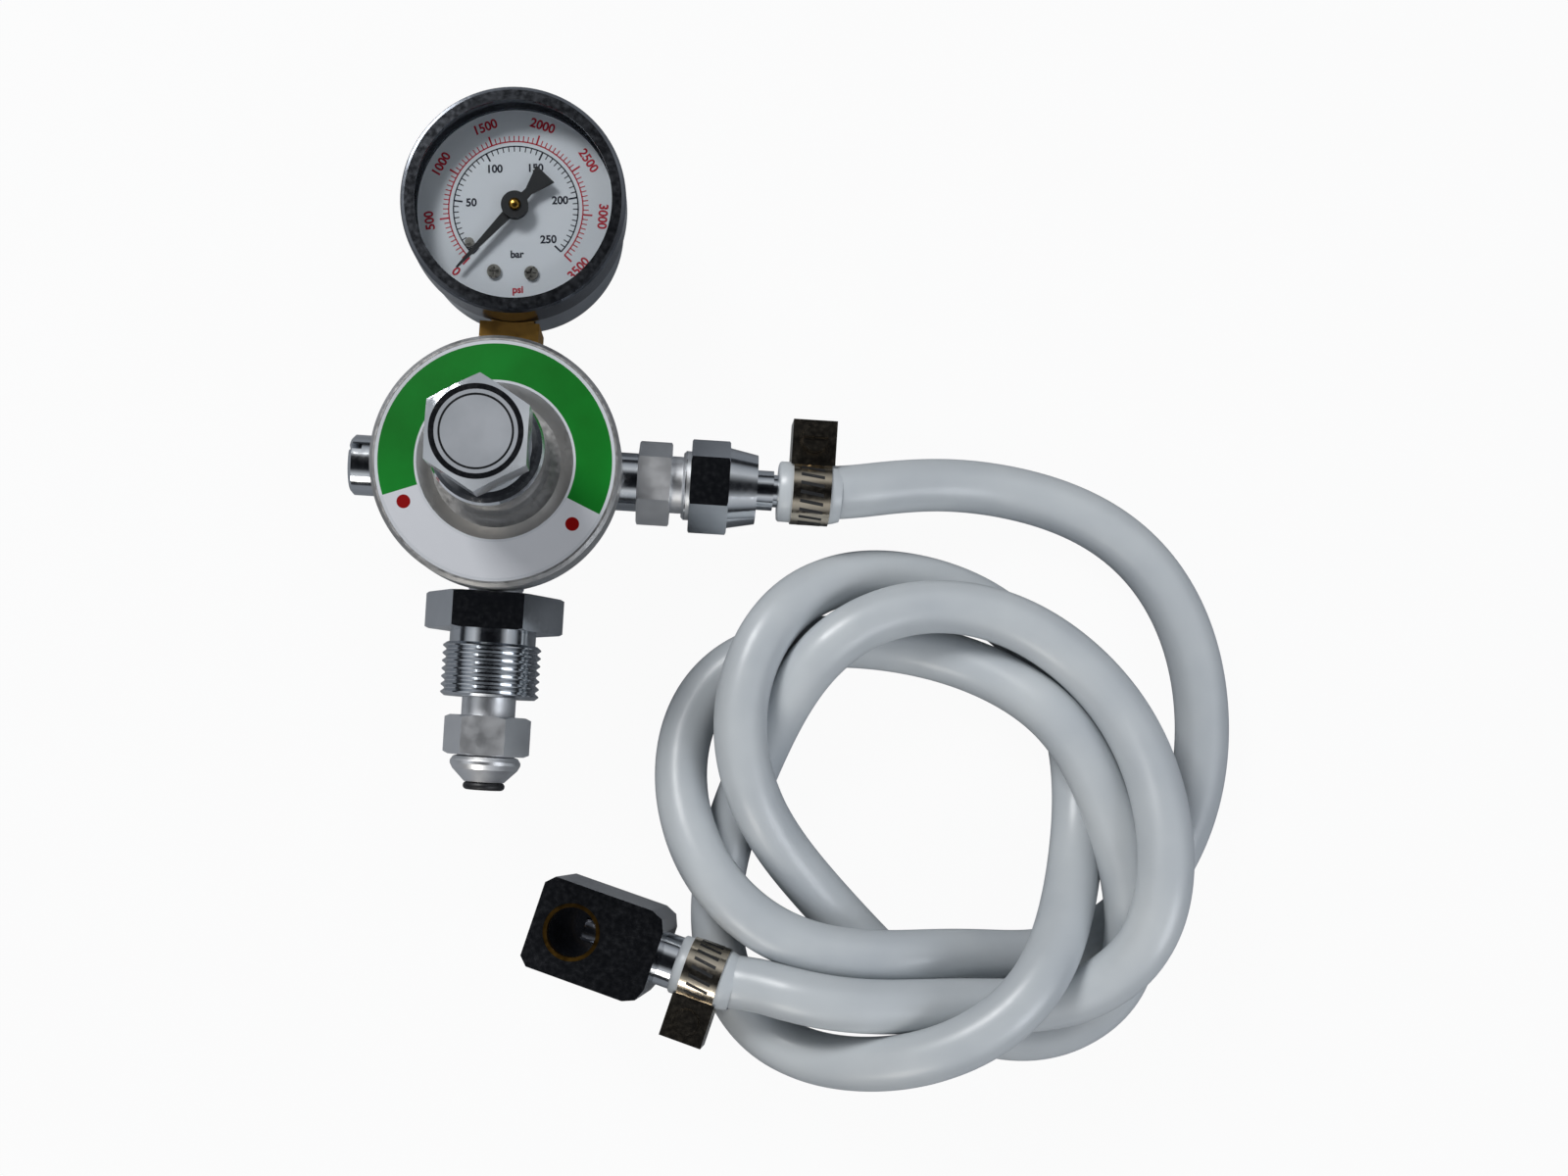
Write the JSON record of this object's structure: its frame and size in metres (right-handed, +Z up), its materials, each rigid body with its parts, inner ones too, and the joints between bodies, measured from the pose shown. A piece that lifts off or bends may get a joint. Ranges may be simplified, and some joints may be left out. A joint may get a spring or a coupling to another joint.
{
  "type": "gas_regulator",
  "caption": "Diaphragm pressure regulator lying on its back, with a round gauge, an adjusting knob, a threaded inlet and a coiled hose to a small connector block.",
  "frame": {"origin": "centre of the flat back face of the regulator body, on the floor it rests on", "axes": "+Z is up out of the regulator's face, +Y points to the gauge, +X points to the outlet"},
  "size_m": [0.2102, 0.2198, 0.0725],
  "materials": {
    "chrome_plate": "polished",
    "black_plate": "polished",
    "brass_plain": "machined",
    "spring_steel": "satin",
    "clamp_steel": "satin",
    "bare_aluminium": "machined",
    "black_rubber": "matte",
    "hose_grey": "satin",
    "green_label": "gloss",
    "grey_badge": "satin",
    "dial_white": "satin",
    "pointer_black": "matte",
    "clear_window": "clear"
  },
  "bodies": {
    "regulator": {"body": "chrome_plate", "back_plug": "chrome_plate", "valve_nozzle": "brass_plain", "diaphragm": "black_rubber", "diaphragm_plate": "bare_aluminium", "bonnet": "chrome_plate", "face_label": "green_label", "gauge_case": "chrome_plate", "gauge_bezel": "chrome_plate", "gauge_window": "clear_window", "gauge_dial": "dial_white", "pointer_stop": "spring_steel", "dial_screw_left": "spring_steel", "dial_screw_right": "spring_steel", "gauge_socket": "brass_plain", "bourdon_tube": "brass_plain", "gauge_movement": "brass_plain", "inlet_nipple": "chrome_plate", "nose_oring": "black_rubber", "inlet_filter": "brass_plain", "outlet_adapter": "chrome_plate", "union_nut": "chrome_plate", "hose_tail": "chrome_plate", "clamp_band_upper": "clamp_steel", "clamp_housing_upper": "clamp_steel", "clamp_screw_upper": "clamp_steel", "clamp_band_lower": "clamp_steel", "clamp_housing_lower": "clamp_steel", "clamp_screw_lower": "clamp_steel", "hose_lead": "hose_grey", "hose_coil": "hose_grey", "hose_end": "hose_grey", "connector_block": "black_plate", "port_ring": "brass_plain", "block_tail": "chrome_plate", "relief_cap": "chrome_plate", "relief_poppet": "brass_plain", "relief_spring": "spring_steel"},
    "valve": {"valve_poppet": "brass_plain", "poppet_spring": "spring_steel"},
    "button": {"spring_button": "brass_plain", "main_spring": "spring_steel"},
    "knob": {"adjusting_knob": "chrome_plate", "knob_badge": "grey_badge"},
    "pointer": {"gauge_pointer": "pointer_black"},
    "inlet_nut": {"gas_nut": "chrome_plate"}
  },
  "joints": [
    {"name": "knob_turn", "type": "hinge", "parent": "button", "child": "knob", "pos_m": [0, 0, 0.05], "axis": [0, 0, -1], "range_deg": [0, 720]},
    {"name": "button_slide", "type": "slide", "parent": "regulator", "child": "button", "axis": [0, 0, -1], "range_m": [0, 0.003], "deforming": ["main_spring"]},
    {"name": "valve_lift", "type": "slide", "parent": "regulator", "child": "valve", "axis": [0, 0, -1], "range_m": [0, 0.0008], "stiffness_N_per_m": 300, "deforming": ["poppet_spring"]},
    {"name": "pointer_sweep", "type": "hinge", "parent": "regulator", "child": "pointer", "pos_m": [0, 0.0596, 0.0275], "axis": [0, 0, -1], "range_deg": [0, 270], "stiffness_Nm_per_rad": 0.0000005},
    {"name": "gas_nut_spin", "type": "hinge", "parent": "regulator", "child": "inlet_nut", "pos_m": [0, -0.04, 0.017], "axis": [0, -1, 0], "continuous": true}
  ],
  "couplings": [
    {"joint": "knob_turn", "follows": "button_slide", "rad_per_m": 4188.8}
  ]
}
